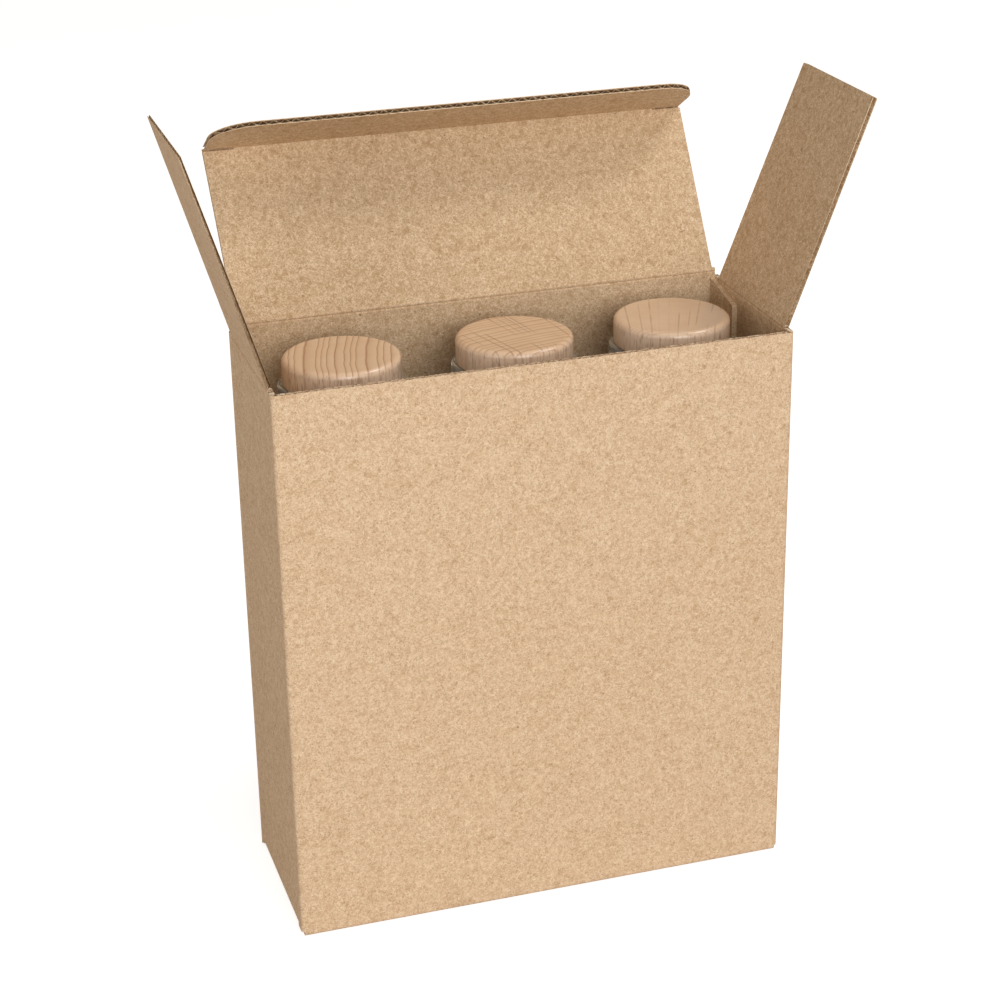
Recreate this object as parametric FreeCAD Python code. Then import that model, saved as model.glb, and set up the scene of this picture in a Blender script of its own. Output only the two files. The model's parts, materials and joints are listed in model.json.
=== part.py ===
import FreeCAD, Part
import math
import os
from FreeCAD import Placement, Rotation, Vector

# Bottle shipping box: an upright corrugated carton with its lid and dust flaps
# standing open, and three stoppered bottles inside.
# Millimetres. X to the right, Y to the back, Z up. The front wall looks to -Y
# and the origin is the middle of the underside.

# ---- Board ----
BOARD = 1.5               # thickness of the corrugated board
LINER = 0.2               # flat paper on each face of the board
FLUTE_PITCH = 3.2         # one full wave of the inner paper
FLUTE_ROOT = 2.2          # width of a flute's channel against its liner
FLUTE_CREST = 0.84        # width of the channel at the top of its wave
FLUTE_HEIGHT = 0.85       # height of a channel
FLUTE_OPEN_DEPTH = 2.4    # how far the open channels run in from a cut edge
LAYER_GAP = 0.15          # air between board layers that lie on each other

# ---- Bottles, which the carton is made to fit ----
BOTTLE_R = 23.6
GLASS = 2.2               # thickness of the glass
GLASS_FLOOR = 4.0
FOOT_ROUND = 2.4
SHOULDER_Z = 98.0         # heights above the bottle's own foot
LIP_Z = 147.7
GLASS_TOP_Z = 156.6
SHOULDER_R = 16.0         # round of the shoulder
NECK_CURVE_R = 10.0       # hollow curve from the shoulder into the neck
NECK_R = 13.5
LIP_R = 18.3
LIP_ROUND = 1.4
BORE_R = 9.3
BORE_START_Z = 128.0      # below it the neck is as wide as its glass lets it be
HEAD_R = 16.8             # wooden head of the stopper
HEAD_HEIGHT = 7.8
HEAD_TOP_ROUND = 1.8
HEAD_LOW_ROUND = 0.6
PLUG_GAP = 0.04           # air between the plug and the bottle's bore
PLUG_LENGTH = 18.0
PLUG_ROUND = 1.0

# ---- Air round the bottles ----
AIR_LEFT = 1.1            # left wall to left bottle
AIR_LEFT_MIDDLE = 3.2     # left bottle to middle bottle
AIR_MIDDLE_RIGHT = 0.5    # middle bottle to right bottle
AIR_RIGHT = 0.6           # right bottle to right wall
AIR_FRONT = 3.9
AIR_BACK = 2.9
AIR_TOP = 0.3             # tallest stopper head to the closed dust flaps

# ---- Walls ----
RAW_EDGE_DROP = 0.1       # cut top edges lie this far below the dust flap creases
CORNER_R = 1.5            # outside radius of the upright folds
FOLD_OUT_R = 1.6          # outside radius of the bottom folds
FOLD_IN_R = 0.3           # inside radius of the bottom folds

# ---- Bottom closure ----
BOTTOM_EDGE_GAP = 1.0     # the bottom panel stops this far in from each side
BOTTOM_TUCK = 17.0        # height of the tuck inside the back wall
BOTTOM_TUCK_SIDE = 4.5    # the tuck stops this far in from each side
BOTTOM_TUCK_R = 9.0       # rounded tuck corners
BOTTOM_DUST_MEET_GAP = 12.5   # between the inner bottom flaps' free ends
BOTTOM_DUST_SIDE = 4.5    # inner bottom flaps stop this far from front and back
BOTTOM_FOLD_STUB = 6.0    # height of wall that is made with the bottom fold

# ---- Glued joint of the sheet ----
TAB_WIDTH = 17.5          # glued tab inside the right wall
TAB_TOP_DROP = 3.5        # slope of the tab's top over its width
TAB_LOW = 5.0             # bottom of the tab at the back corner
TAB_LOW_RISE = 4.0        # slope of its bottom over its width

# ---- Creases that the loose flaps turn on ----
BEAD_R = 0.7              # rolled paper along a crease
BEAD_GAP = 0.08           # air around that roll in the flap's edge
CREASE_GAP = 0.1          # air between the two bevelled edges
CREASE_END = 0.3          # air at the ends of a crease
FULL_FOLD_BEVEL = 45.0    # bevel that lets a flap turn 90 degrees each way
TUCK_FOLD_BEVEL = 36.0    # bevel that lets the tuck fold 108 degrees

# ---- Dust flaps on the side walls ----
DUST_MEET_GAP = 12.5      # between the two closed flaps' free ends
DUST_FRONT_SET = 5.0      # front edge, in from the front wall's outside
DUST_BACK_SET_LOW = 4.5   # back edge at the crease, in from the back's outside
DUST_BACK_SET_HIGH = 6.9  # back edge at the free end
DUST_CORNER_R = 1.2
LEFT_LEAN = 16.4          # degrees outward from upright
RIGHT_LEAN = 20.9         # degrees outward, a little more than the left one

# ---- Lid and its tuck ----
LID_LEAN = 36.0           # degrees back from upright
LID_SIDE_SET = 1.4        # lid's side edges, in from the walls' outsides
LID_OVER_DUST = 0.3       # air between the closed lid and the closed dust flaps
TUCK_FIT = 0.6            # air between the closed tuck and the front wall
TUCK_LENGTH = 22.0        # crease to free edge
TUCK_SIDE_SET = 0.6       # tuck's side edges, in from the lid's
TUCK_CORNER_R = 12.5
TUCK_FOLD = 102.0         # degrees that the tuck is folded in from the lid; past a right
                          # angle, so that its edge slips inside the front wall
SLIT_LENGTH = 8.0         # lock slit at each end of the tuck's crease
SLIT_WIDTH = 1.1

# ---- Sizes that follow from the ones above ----
WIDTH = (2 * BOARD + 6 * BOTTLE_R + AIR_LEFT + AIR_LEFT_MIDDLE + AIR_MIDDLE_RIGHT
         + AIR_RIGHT)
DEPTH = 2 * BOARD + 2 * BOTTLE_R + AIR_FRONT + AIR_BACK
HALF_W = WIDTH / 2
HALF_D = DEPTH / 2
INNER_X = HALF_W - BOARD
INNER_Y = HALF_D - BOARD
BOTTOM_DUST_Z = BOARD + LAYER_GAP
LAYERED_FLOOR_Z = BOTTOM_DUST_Z + BOARD
DUST_AXIS_X = HALF_W - BOARD / 2
DUST_AXIS_Z = LAYERED_FLOOR_Z + GLASS_TOP_Z + HEAD_HEIGHT + AIR_TOP + BOARD / 2
DUST_LENGTH = DUST_AXIS_X - DUST_MEET_GAP / 2
RAW_TOP = DUST_AXIS_Z - RAW_EDGE_DROP
LID_AXIS_Z = DUST_AXIS_Z + BOARD + LID_OVER_DUST
LID_AXIS_Y = HALF_D - BOARD / 2
LID_WIDTH = WIDTH - 2 * LID_SIDE_SET
TUCK_WIDTH = LID_WIDTH - 2 * TUCK_SIDE_SET
LID_LENGTH = LID_AXIS_Y + INNER_Y - TUCK_FIT - BOARD / 2
DUST_FRONT_Y = -HALF_D + DUST_FRONT_SET
DUST_BACK_LOW_Y = HALF_D - DUST_BACK_SET_LOW
DUST_BACK_HIGH_Y = HALF_D - DUST_BACK_SET_HIGH
NECK_Z = SHOULDER_Z + math.sqrt((SHOULDER_R + NECK_CURVE_R) ** 2
                                - (NECK_R + NECK_CURVE_R - BOTTLE_R + SHOULDER_R) ** 2)
BOTTLE_Y = -INNER_Y + AIR_FRONT + BOTTLE_R
BOTTLE_X = {"left": -INNER_X + AIR_LEFT + BOTTLE_R,
            "middle": INNER_X - AIR_RIGHT - AIR_MIDDLE_RIGHT - 3 * BOTTLE_R,
            "right": INNER_X - AIR_RIGHT - BOTTLE_R}


def box(x0, x1, y0, y1, z0, z1):
    """A block between two corners."""
    return Part.makeBox(x1 - x0, y1 - y0, z1 - z0, Vector(x0, y0, z0))


def prism(points, along):
    """A flat outline of points pushed out along a vector."""
    return Part.Face(Part.makePolygon(points + [points[0]])).extrude(along)


def fillet_edges(shape, radius, chosen):
    """Round every straight edge whose middle point passes the test."""
    edges = [e for e in shape.Edges if chosen(e.CenterOfMass)]
    return shape.makeFillet(radius, edges)


def near(a, b):
    return abs(a - b) < 0.01


def flute_openings(width, thickness_axis, run_axis, inward, centre, depth_at=None):
    """Open flute channels along a cut edge.

    centre is the middle of the edge, run_axis points along it, thickness_axis
    through the board and inward into the board. depth_at gives how far below
    the edge's highest line the outline lies at a distance along it.
    """
    channels = []
    count = int((width - FLUTE_PITCH) / FLUTE_PITCH)
    core = BOARD - 2 * LINER
    for wave in range(-count, count + 1):
        along = wave * FLUTE_PITCH / 2
        if abs(along) > width / 2 - FLUTE_ROOT / 2 - LINER:
            continue
        side = 1 if wave % 2 == 0 else -1
        sink = depth_at(along) if depth_at else 0.0
        points = []
        for half, level in ((-FLUTE_ROOT / 2, 0), (-FLUTE_CREST / 2, FLUTE_HEIGHT),
                            (FLUTE_CREST / 2, FLUTE_HEIGHT), (FLUTE_ROOT / 2, 0)):
            through = side * (level - core / 2)
            points.append(centre + run_axis * (along + half) + thickness_axis * through
                          - inward * 0.5)
        channels.append(prism(points, inward * (0.5 + sink + FLUTE_OPEN_DEPTH)))
    return channels


def crease_ridge(bevel, reach):
    """Bevelled edge that carries the rolled crease, in its own Y and Z.

    The crease axis is X at the origin and the board hangs down from it.
    """
    half = BOARD / 2
    drop = half / math.tan(math.radians(bevel))
    return [Vector(0, 0, 0), Vector(0, half, -drop - CREASE_GAP),
            Vector(0, half, -reach), Vector(0, -half, -reach),
            Vector(0, -half, -drop - CREASE_GAP)]


def ridge_solid(bevel, length, reach):
    """Board edge with its rolled crease, centred on X, hanging below the axis."""
    points = [p - Vector(length / 2, 0, 0) for p in crease_ridge(bevel, reach)]
    solid = prism(points, Vector(length, 0, 0))
    roll = Part.makeCylinder(BEAD_R, length, Vector(-length / 2, 0, 0), Vector(1, 0, 0))
    return solid.fuse(roll).removeSplitter()


def groove_cutter(bevel, length):
    """What a flap loses at its crease: two bevels and the bed of the roll."""
    half = BOARD
    rise = half / math.tan(math.radians(bevel))
    low = -BOARD
    side = [Vector(-length / 2, 0, CREASE_GAP), Vector(-length / 2, half, rise + CREASE_GAP),
            Vector(-length / 2, half, low), Vector(-length / 2, -half, low),
            Vector(-length / 2, -half, rise + CREASE_GAP)]
    bed = Part.makeCylinder(BEAD_R + BEAD_GAP, length, Vector(-length / 2, 0, 0),
                            Vector(1, 0, 0))
    return prism(side, Vector(length, 0, 0)).fuse(bed)


def front_wall_and_bottom():
    """Front wall, bottom panel and bottom tuck: one strip folded twice."""
    tuck_y = INNER_Y - LAYER_GAP
    outline = [Vector(-HALF_W, -HALF_D, RAW_TOP), Vector(-HALF_W, -HALF_D, 0),
               Vector(-HALF_W, tuck_y, 0), Vector(-HALF_W, tuck_y, BOTTOM_TUCK),
               Vector(-HALF_W, tuck_y - BOARD, BOTTOM_TUCK),
               Vector(-HALF_W, tuck_y - BOARD, BOARD),
               Vector(-HALF_W, -INNER_Y, BOARD), Vector(-HALF_W, -INNER_Y, RAW_TOP)]
    strip = prism(outline, Vector(WIDTH, 0, 0))
    strip = fillet_edges(strip, FOLD_OUT_R, lambda c: near(c.x, 0) and near(c.z, 0)
                         and (near(c.y, -HALF_D) or near(c.y, tuck_y)))
    strip = fillet_edges(strip, FOLD_IN_R, lambda c: near(c.x, 0) and near(c.z, BOARD)
                         and (near(c.y, -INNER_Y) or near(c.y, tuck_y - BOARD)))
    beyond = WIDTH
    for side in (-1, 1):
        panel_edge = side * (HALF_W - BOTTOM_EDGE_GAP)
        tuck_edge = side * (HALF_W - BOTTOM_TUCK_SIDE)
        strip = strip.cut(box(min(panel_edge, side * beyond), max(panel_edge, side * beyond),
                              -DEPTH, DEPTH, -1, BOTTOM_DUST_Z))
        strip = strip.cut(box(min(tuck_edge, side * beyond), max(tuck_edge, side * beyond),
                              0, DEPTH, -1, BOTTOM_TUCK + 1))
        # give the bottom panel its full width back beside the narrower tuck
        strip = strip.fuse(box(min(panel_edge, tuck_edge), max(panel_edge, tuck_edge),
                               -1, tuck_y - FOLD_OUT_R, 0, BOARD))
    strip = fillet_edges(strip, BOTTOM_TUCK_R,
                         lambda c: near(c.z, BOTTOM_TUCK) and near(c.y, tuck_y - BOARD / 2)
                         and near(abs(c.x), HALF_W - BOTTOM_TUCK_SIDE))
    return strip.removeSplitter()


def side_wall(side):
    """A side wall with its inner bottom flap and the crease of its dust flap."""
    outer = side * HALF_W
    inner = side * INNER_X
    x0, x1 = min(outer, inner), max(outer, inner)
    back_end = HALF_D - (LAYER_GAP if side > 0 else 0)
    wall = box(x0, x1, -HALF_D, back_end, BOTTOM_DUST_Z, RAW_TOP)

    # inner bottom flap, folded in from the wall
    flap_end = side * BOTTOM_DUST_MEET_GAP / 2
    y_in = HALF_D - BOTTOM_DUST_SIDE
    stub_top = BOTTOM_DUST_Z + BOTTOM_FOLD_STUB
    wall = wall.cut(box(x0, x1, -y_in, y_in, 0, stub_top))
    outline = [Vector(outer, -y_in, stub_top), Vector(outer, -y_in, BOTTOM_DUST_Z),
               Vector(flap_end, -y_in, BOTTOM_DUST_Z), Vector(flap_end, -y_in, LAYERED_FLOOR_Z),
               Vector(inner, -y_in, LAYERED_FLOOR_Z), Vector(inner, -y_in, stub_top)]
    fold = prism(outline, Vector(0, 2 * y_in, 0))
    fold = fillet_edges(fold, FOLD_OUT_R, lambda c: near(c.x, outer) and near(c.y, 0)
                        and near(c.z, BOTTOM_DUST_Z))
    fold = fillet_edges(fold, FOLD_IN_R, lambda c: near(c.x, inner) and near(c.y, 0)
                        and near(c.z, LAYERED_FLOOR_Z))
    wall = wall.fuse(fold)

    # crease for the dust flap
    y0, y1 = DUST_FRONT_Y - CREASE_END, DUST_BACK_LOW_Y + CREASE_END
    reach = 3.0
    wall = wall.cut(box(x0, x1, y0, y1, DUST_AXIS_Z - reach, RAW_TOP + 1))
    ridge = ridge_solid(FULL_FOLD_BEVEL, DUST_BACK_LOW_Y - DUST_FRONT_Y, reach)
    ridge.Placement = Placement(
        Vector(side * DUST_AXIS_X, (DUST_FRONT_Y + DUST_BACK_LOW_Y) / 2, DUST_AXIS_Z),
        Rotation(Vector(0, 0, 1), 90))
    foot = box(x0, x1, y0, y1, DUST_AXIS_Z - reach - 0.5,
               DUST_AXIS_Z - BOARD / 2 - CREASE_GAP - 0.6)
    return wall.fuse([ridge, foot]).removeSplitter()


def back_wall_and_tab():
    """Back wall with the lid's crease, and the tab glued inside the right wall."""
    wall = box(-HALF_W, INNER_X, INNER_Y, HALF_D, LAYER_GAP, RAW_TOP)
    wall = fillet_edges(wall, BOARD * 0.8, lambda c: near(c.x, INNER_X) and near(c.y, HALF_D))

    y_free = INNER_Y - TAB_WIDTH
    tab = prism([Vector(INNER_X - BOARD, INNER_Y, TAB_LOW),
                 Vector(INNER_X - BOARD, INNER_Y, RAW_TOP - 0.3),
                 Vector(INNER_X - BOARD, y_free, RAW_TOP - 0.3 - TAB_TOP_DROP),
                 Vector(INNER_X - BOARD, y_free, TAB_LOW + TAB_LOW_RISE)],
                Vector(BOARD, 0, 0))

    reach = LID_AXIS_Z - RAW_TOP + 2.0
    half = LID_WIDTH / 2
    wall = wall.cut(box(-half - CREASE_END, half + CREASE_END, INNER_Y, HALF_D,
                        RAW_TOP - 1.0, RAW_TOP + 1))
    ridge = ridge_solid(FULL_FOLD_BEVEL, LID_WIDTH, reach)
    ridge.Placement = Placement(Vector(0, LID_AXIS_Y, LID_AXIS_Z), Rotation())
    return wall.fuse([tab, ridge]).removeSplitter()


def carton_shell():
    """The folded sheet without its four loose flaps."""
    walls = front_wall_and_bottom().fuse(
        [side_wall(-1), side_wall(1), back_wall_and_tab()])
    # rounded upright folds at three corners; at the back right the sheet's two
    # ends meet, so that corner stays as it is
    rounded = box(-HALF_W, HALF_W, -HALF_D, HALF_D, -1, LID_AXIS_Z + 2)
    rounded = fillet_edges(rounded, CORNER_R, lambda c: near(abs(c.x), HALF_W)
                           and near(abs(c.y), HALF_D) and not (c.x > 0 and c.y > 0))
    walls = walls.common(rounded)
    openings = flute_openings(WIDTH - 2 * BOARD, Vector(0, 1, 0), Vector(1, 0, 0),
                              Vector(0, 0, -1),
                              Vector(0, -HALF_D + BOARD / 2, RAW_TOP))
    return walls.cut(openings).removeSplitter()


def dust_flap(side):
    """A side wall's flap, built upright on its crease and then leaned outward."""
    x0 = side * DUST_AXIS_X - BOARD / 2
    top = DUST_AXIS_Z + DUST_LENGTH
    panel = prism([Vector(x0, DUST_FRONT_Y, DUST_AXIS_Z),
                   Vector(x0, DUST_BACK_LOW_Y, DUST_AXIS_Z),
                   Vector(x0, DUST_BACK_HIGH_Y, top),
                   Vector(x0, DUST_FRONT_Y, top)], Vector(BOARD, 0, 0))
    panel = fillet_edges(panel, DUST_CORNER_R, lambda c: near(c.z, top)
                         and near(c.x, side * DUST_AXIS_X))
    cutter = groove_cutter(FULL_FOLD_BEVEL, DEPTH)
    cutter.Placement = Placement(Vector(side * DUST_AXIS_X, 0, DUST_AXIS_Z),
                                 Rotation(Vector(0, 0, 1), 90))
    panel = panel.cut(cutter)
    edge_width = DUST_BACK_HIGH_Y - DUST_FRONT_Y - 2 * DUST_CORNER_R
    edge_middle = Vector(side * DUST_AXIS_X, (DUST_BACK_HIGH_Y + DUST_FRONT_Y) / 2, top)
    panel = panel.cut(flute_openings(edge_width, Vector(1, 0, 0), Vector(0, 1, 0),
                                     Vector(0, 0, -1), edge_middle))
    lean = LEFT_LEAN if side < 0 else RIGHT_LEAN
    panel.rotate(Vector(side * DUST_AXIS_X, 0, DUST_AXIS_Z), Vector(0, 1, 0), side * lean)
    return panel


def lid_panel():
    """The lid, built upright on its crease and then leaned back."""
    half = LID_WIDTH / 2
    y0 = LID_AXIS_Y - BOARD / 2
    top = LID_AXIS_Z + LID_LENGTH
    reach = 4.0
    panel = box(-half, half, y0, y0 + BOARD, LID_AXIS_Z, top - reach)
    cutter = groove_cutter(FULL_FOLD_BEVEL, WIDTH)
    cutter.Placement = Placement(Vector(0, LID_AXIS_Y, LID_AXIS_Z), Rotation())
    panel = panel.cut(cutter)

    # the edge at the tuck carries the rolled crease between the two lock slits
    between = half - SLIT_LENGTH
    ridge = ridge_solid(TUCK_FOLD_BEVEL, 2 * between, reach)
    ridge.Placement = Placement(Vector(0, LID_AXIS_Y, top), Rotation())
    shoulder_top = top - SLIT_WIDTH
    shoulders = [box(-half, -between, y0, y0 + BOARD, top - reach, shoulder_top),
                 box(between, half, y0, y0 + BOARD, top - reach, shoulder_top)]
    panel = panel.fuse([ridge] + shoulders).removeSplitter()
    panel.rotate(Vector(0, LID_AXIS_Y, LID_AXIS_Z), Vector(1, 0, 0), -LID_LEAN)
    return panel


def tuck_flap():
    """The lid's tuck, built in line with the upright lid, then folded and leaned."""
    half = TUCK_WIDTH / 2
    y0 = LID_AXIS_Y - BOARD / 2
    axis_z = LID_AXIS_Z + LID_LENGTH
    top = axis_z + TUCK_LENGTH
    panel = box(-half, half, y0, y0 + BOARD, axis_z, top)
    panel = fillet_edges(panel, TUCK_CORNER_R, lambda c: near(c.z, top)
                         and near(abs(c.x), half))

    def below_top(along):
        """How far the rounded corner has dropped at this place on the edge."""
        past = abs(along) + FLUTE_ROOT / 2 - (half - TUCK_CORNER_R)
        if past <= 0:
            return 0.0
        past = min(past, TUCK_CORNER_R)
        return TUCK_CORNER_R - math.sqrt(TUCK_CORNER_R ** 2 - past ** 2)

    panel = panel.cut(flute_openings(TUCK_WIDTH - TUCK_CORNER_R / 2, Vector(0, 1, 0),
                                     Vector(1, 0, 0), Vector(0, 0, -1),
                                     Vector(0, LID_AXIS_Y, top), below_top))
    cutter = groove_cutter(TUCK_FOLD_BEVEL, WIDTH)
    cutter.Placement = Placement(Vector(0, LID_AXIS_Y, axis_z), Rotation())
    panel = panel.cut(cutter)
    panel.rotate(Vector(0, LID_AXIS_Y, axis_z), Vector(1, 0, 0), TUCK_FOLD)
    panel.rotate(Vector(0, LID_AXIS_Y, LID_AXIS_Z), Vector(1, 0, 0), -LID_LEAN)
    return panel


def revolve(outline):
    """Turn a closed outline of radius and height about the Z axis."""
    return Part.Face(Part.Wire(outline)).revolve(Vector(0, 0, 0), Vector(0, 0, 1), 360)


def line(a, b):
    return Part.makeLine(Vector(a[0], 0, a[1]), Vector(b[0], 0, b[1]))


def bottle_outline(wall, foot_z, top_z):
    """Half outline of the bottle, moved in from its outside by a wall thickness."""
    low_r = BOTTLE_R - wall
    neck_r = NECK_R - wall
    low_arc = SHOULDER_R - wall
    low_centre = (BOTTLE_R - SHOULDER_R, SHOULDER_Z)
    high_centre = (NECK_R + NECK_CURVE_R, NECK_Z)
    reach = SHOULDER_R + NECK_CURVE_R
    slope = math.asin((NECK_Z - SHOULDER_Z) / reach)

    def on_arc(centre, radius, angle):
        return Vector(centre[0] + radius * math.cos(angle), 0,
                      centre[1] + radius * math.sin(angle))

    meet = on_arc(low_centre, low_arc, slope)
    lower = Part.Arc(Vector(low_r, 0, SHOULDER_Z), on_arc(low_centre, low_arc, slope / 2),
                     meet).toShape()
    upper = Part.Arc(meet, on_arc(high_centre, NECK_CURVE_R + wall, math.pi + slope / 2),
                     Vector(neck_r, 0, NECK_Z)).toShape()
    return [line((0, foot_z), (low_r, foot_z)), line((low_r, foot_z), (low_r, SHOULDER_Z)),
            lower, upper, line((neck_r, NECK_Z), (neck_r, top_z)),
            line((neck_r, top_z), (0, top_z)), line((0, top_z), (0, foot_z))]


def glass_bottle(name):
    """Round glass bottle with a plain ring lip, open at its bore."""
    body = revolve(bottle_outline(0.0, 0.0, GLASS_TOP_Z))
    body = fillet_edges(body, FOOT_ROUND, lambda c: near(c.z, 0))
    lip = Part.makeCylinder(LIP_R, GLASS_TOP_Z - LIP_Z, Vector(0, 0, LIP_Z))
    lip = fillet_edges(lip, LIP_ROUND, lambda c: near(c.z, LIP_Z) or near(c.z, GLASS_TOP_Z))
    hollow = revolve(bottle_outline(GLASS, GLASS_FLOOR, BORE_START_Z))
    bore = Part.makeCylinder(BORE_R, GLASS_TOP_Z, Vector(0, 0, GLASS_FLOOR + GLASS))
    bottle = body.fuse(lip).cut([hollow, bore])
    bottle.translate(Vector(BOTTLE_X[name], BOTTLE_Y, LAYERED_FLOOR_Z))
    return bottle


def stopper_head(name):
    """Turned wooden head that sits on the bottle's lip."""
    head = Part.makeCylinder(HEAD_R, HEAD_HEIGHT)
    head = fillet_edges(head, HEAD_TOP_ROUND, lambda c: near(c.z, HEAD_HEIGHT))
    head = fillet_edges(head, HEAD_LOW_ROUND, lambda c: near(c.z, 0))
    head.translate(Vector(BOTTLE_X[name], BOTTLE_Y, LAYERED_FLOOR_Z + GLASS_TOP_Z))
    return head


def stopper_plug(name):
    """Cork plug under the head, inside the bottle's bore."""
    plug = Part.makeCylinder(BORE_R - PLUG_GAP, PLUG_LENGTH)
    plug = fillet_edges(plug, PLUG_ROUND, lambda c: near(c.z, 0))
    plug.translate(Vector(BOTTLE_X[name], BOTTLE_Y,
                          LAYERED_FLOOR_Z + GLASS_TOP_Z - PLUG_LENGTH))
    return plug


nodes = {
    "carton_shell": carton_shell(),
    "lid_panel": lid_panel(),
    "tuck_flap": tuck_flap(),
    "left_dust_flap": dust_flap(-1),
    "right_dust_flap": dust_flap(1),
}
for place in BOTTLE_X:
    nodes[place + "_bottle"] = glass_bottle(place)
    nodes[place + "_stopper_head"] = stopper_head(place)
    nodes[place + "_stopper_plug"] = stopper_plug(place)

os.makedirs("parts", exist_ok=True)
for name, shape in nodes.items():
    solids = shape.Solids
    print(name, "solids", len(solids), "valid", shape.isValid(),
          "volume %.0f mm3" % shape.Volume, "faces", len(shape.Faces))
    if len(solids) == 1:
        shape = solids[0]
    shape.exportStep("parts/" + name + ".step")
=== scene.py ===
# %% [markdown]
# # A bottle shipping box of kraft corrugated board
# The box is one plain sheet of thin corrugated board, folded upright, with
# its lid and two dust flaps standing open over three stoppered bottles. The folded
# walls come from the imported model. The four loose flaps are made here again as
# real board: two flat papers with a wave of paper between them.

# %% Load the frame
import bmesh
import bpy
import json
import math
from mathutils import Matrix, Vector


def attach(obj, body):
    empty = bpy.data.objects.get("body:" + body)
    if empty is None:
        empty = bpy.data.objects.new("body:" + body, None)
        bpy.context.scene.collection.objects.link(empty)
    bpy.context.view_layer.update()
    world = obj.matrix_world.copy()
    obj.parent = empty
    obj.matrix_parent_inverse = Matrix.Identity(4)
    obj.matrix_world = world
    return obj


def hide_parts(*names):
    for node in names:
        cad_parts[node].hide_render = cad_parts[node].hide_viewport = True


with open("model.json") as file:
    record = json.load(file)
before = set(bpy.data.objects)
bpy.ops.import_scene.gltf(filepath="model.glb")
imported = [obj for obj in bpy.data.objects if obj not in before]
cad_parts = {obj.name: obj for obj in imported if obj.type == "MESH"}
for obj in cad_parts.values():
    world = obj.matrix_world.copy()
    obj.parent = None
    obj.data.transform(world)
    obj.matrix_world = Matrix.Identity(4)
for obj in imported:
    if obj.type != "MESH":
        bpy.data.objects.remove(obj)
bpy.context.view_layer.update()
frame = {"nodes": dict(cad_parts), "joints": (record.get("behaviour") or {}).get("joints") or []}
MM = 0.001
print("nodes:", sorted(frame["nodes"]))

# %% [markdown]
# ## The camera
# The photograph was taken from a little left of the front and from above, with a
# long lens. These numbers were fitted to the corners of the box, so that a corner
# in the render lands where it does in the photograph. The camera looks at a point
# near the middle of the box and is rolled by about a degree, as a held camera is.

# %% Camera
AZIMUTH = -17.07
ELEVATION = 23.20
ROLL = -1.03
DISTANCE = 682.3 * MM
AIM = Vector((-3.67, 0.0, 117.16)) * MM
FOCAL_IN_FRAME_WIDTHS = 2.34768
SENSOR = 36.0
CLIP_START = 0.01

azimuth, elevation, roll = (math.radians(a) for a in (AZIMUTH, ELEVATION, ROLL))
back = Vector((math.sin(azimuth) * math.cos(elevation),
               -math.cos(azimuth) * math.cos(elevation), math.sin(elevation)))
level = Vector((math.cos(azimuth), math.sin(azimuth), 0.0))
above = back.cross(level)
right = math.cos(roll) * level + math.sin(roll) * above
up = math.cos(roll) * above - math.sin(roll) * level

bpy.ops.object.camera_add(location=AIM + back * DISTANCE)
camera = bpy.context.object
camera.name = "photo_camera"
camera.data.sensor_width = SENSOR
camera.data.lens = FOCAL_IN_FRAME_WIDTHS * SENSOR
camera.data.clip_start = CLIP_START
camera.rotation_euler = Matrix((right, up, back)).transposed().to_euler()
bpy.context.scene.camera = camera
print("camera at mm", [round(v / MM, 1) for v in camera.location], "lens", camera.data.lens)

# %% [markdown]
# ## Small helpers
# A picture editor's colour is written as a hex value in sRGB, and shaders want
# linear light, so one function turns the first into the second. Another adds a
# node of any kind with its settings and its links and gives back an output of it,
# so that a material reads as a list of steps. Two more turn a size in millimetres
# into the scale of a noise, and start an empty material.

# %% Colour and node helpers
def paint(code):
    """sRGB hex such as 'd9b894' to linear red, green, blue and alpha."""
    parts = [int(code[i:i + 2], 16) / 255 for i in (0, 2, 4)]
    return [v / 12.92 if v <= 0.04045 else ((v + 0.055) / 1.055) ** 2.4
            for v in parts] + [1.0]


def add(tree, kind, inputs=None, out=0, **settings):
    """Adds a node, each input given a value or a socket, and returns an output."""
    node = tree.nodes.new("ShaderNode" + kind)
    for name, value in settings.items():
        setattr(node, name, value)
    for key, value in (inputs or {}).items():
        if isinstance(value, bpy.types.NodeSocket):
            tree.links.new(value, node.inputs[key])
        else:
            node.inputs[key].default_value = value
    return node.outputs[out] if node.outputs else node


def per_mm(size):
    """Noise scale for a feature of this many millimetres on Object coordinates."""
    return 1.0 / (size * MM)


def blank(name):
    """An empty material with its Principled shader and its Object coordinates."""
    material = bpy.data.materials.new(name)
    material.use_nodes = True
    tree = material.node_tree
    tree.nodes.clear()
    surface = add(tree, "BsdfPrincipled")
    add(tree, "OutputMaterial", {"Surface": surface})
    return material, tree, surface.node, add(tree, "TexCoord", out="Object")


# what a Mix node needs to blend two colours, and which output it then has
COLOURS = {"out": 2, "data_type": "RGBA"}
WHITE = (1.0, 1.0, 1.0, 1.0)
print("kraft brown in linear light:", [round(v, 3) for v in paint("d9b894")])

# %% [markdown]
# ## Kraft liner paper
# The faces of the board are unbleached kraft liner: long wood fibres pressed flat
# and left matte. The liner on the inside of the box is given a darker and greyer
# tone than the one outside: partly its own paper, partly painted shade for the dim
# inside of the box. Near to, it is a felt of short curling fibres, some pale and
# some dark, under soft clouds where the pulp lay thicker. Straight streaks would
# have one direction, and real fibres have none. A contour line of a smooth noise
# wanders like a fibre, so thin bands round one level of the noise are used, broken
# up by a second noise into pieces of one to three millimetres.

# %% Fibres
PALE_FIBRE = paint("f6e0c0")
DARK_FIBRE = paint("a27a52")
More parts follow.
